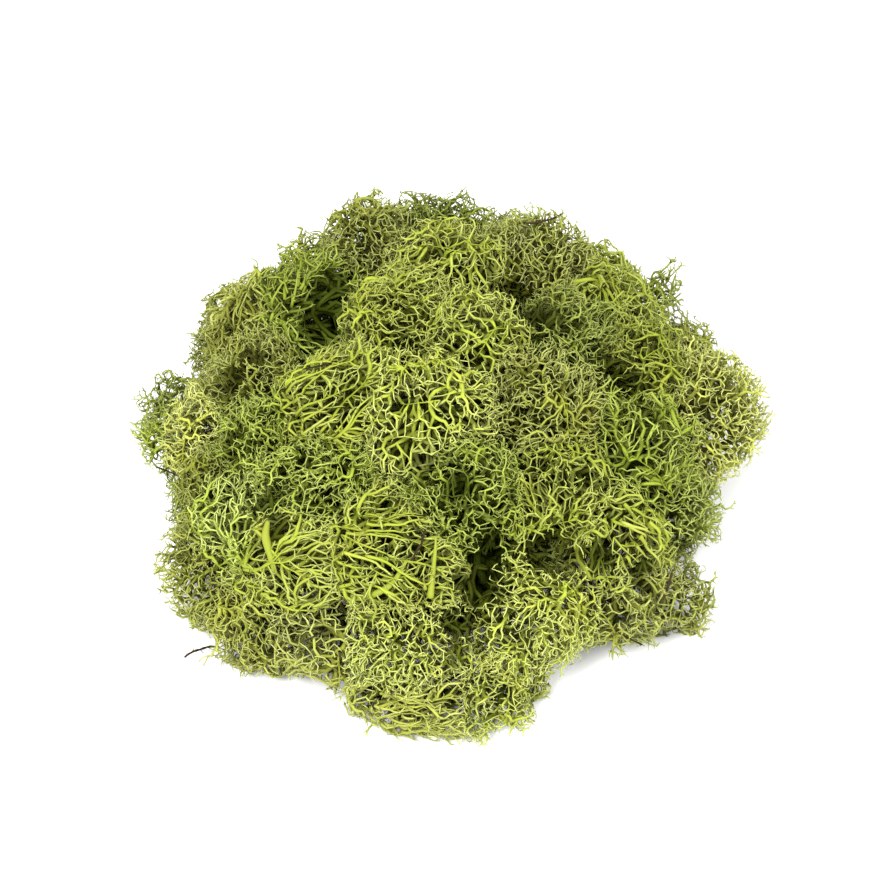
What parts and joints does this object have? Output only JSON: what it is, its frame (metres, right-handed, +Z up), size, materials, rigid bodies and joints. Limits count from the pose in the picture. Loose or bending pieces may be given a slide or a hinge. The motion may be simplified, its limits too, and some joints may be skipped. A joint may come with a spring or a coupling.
{
  "type": "moss clump",
  "caption": "Low mounded clump of dried, dyed reindeer moss: finely branched tufts tangled together, lying on a flat base.",
  "frame": {"origin": "the middle of the heap's footprint, on the surface that it lies on", "axes": "+Z up out of the surface; -Y towards the viewer of the fullest side; +X to that viewer's right"},
  "size_m": [0.1958, 0.1974, 0.0806],
  "materials": {
    "lime_lichen": "matt, dyed lime green",
    "green_lichen": "matt, dyed leaf green",
    "olive_lichen": "matt, brownish olive",
    "pale_lichen": "matt, pale yellow green",
    "dark_lichen": "matt, dark green",
    "pine_needle": "dry, blackish brown",
    "twig_bark": "rough, dark brown"
  },
  "bodies": {
    "root": {"crown_tuft_1": "lime_lichen", "crown_tuft_2": "lime_lichen", "crown_tuft_3": "lime_lichen", "crown_tuft_4": "olive_lichen", "crown_tuft_5": "lime_lichen", "crown_tuft_6": "dark_lichen", "back_tuft_1": "olive_lichen", "back_tuft_2": "dark_lichen", "back_tuft_3": "lime_lichen", "back_tuft_4": "olive_lichen", "back_tuft_5": "lime_lichen", "back_tuft_6": "olive_lichen", "back_tuft_7": "lime_lichen", "back_tuft_8": "green_lichen", "back_tuft_9": "dark_lichen", "back_tuft_10": "lime_lichen", "left_tuft_1": "green_lichen", "left_tuft_2": "pale_lichen", "left_tuft_3": "olive_lichen", "left_tuft_4": "dark_lichen", "left_tuft_5": "pale_lichen", "left_tuft_6": "green_lichen", "left_tuft_7": "olive_lichen", "left_tuft_8": "green_lichen", "left_tuft_9": "green_lichen", "left_tuft_10": "green_lichen", "left_tuft_11": "green_lichen", "front_tuft_1": "lime_lichen", "front_tuft_2": "lime_lichen", "front_tuft_3": "green_lichen", "front_tuft_4": "lime_lichen", "front_tuft_5": "pale_lichen", "front_tuft_6": "pale_lichen", "front_tuft_7": "olive_lichen", "front_tuft_8": "lime_lichen", "front_tuft_9": "lime_lichen", "front_tuft_10": "pale_lichen", "front_tuft_11": "lime_lichen", "right_tuft_1": "lime_lichen", "right_tuft_2": "pale_lichen", "right_tuft_3": "green_lichen", "right_tuft_4": "dark_lichen", "right_tuft_5": "lime_lichen", "right_tuft_6": "olive_lichen", "right_tuft_7": "olive_lichen", "right_tuft_8": "olive_lichen", "right_tuft_9": "dark_lichen", "right_tuft_10": "dark_lichen", "bed_tuft_1": "green_lichen", "bed_tuft_2": "green_lichen", "bed_tuft_3": "green_lichen", "bed_tuft_4": "green_lichen", "pine_needle_1": "pine_needle", "pine_needle_2": "pine_needle", "pine_needle_3": "pine_needle", "pine_needle_4": "pine_needle", "twig_1": "twig_bark", "twig_2": "twig_bark", "twig_3": "twig_bark", "twig_4": "twig_bark"}
  },
  "joints": []
}
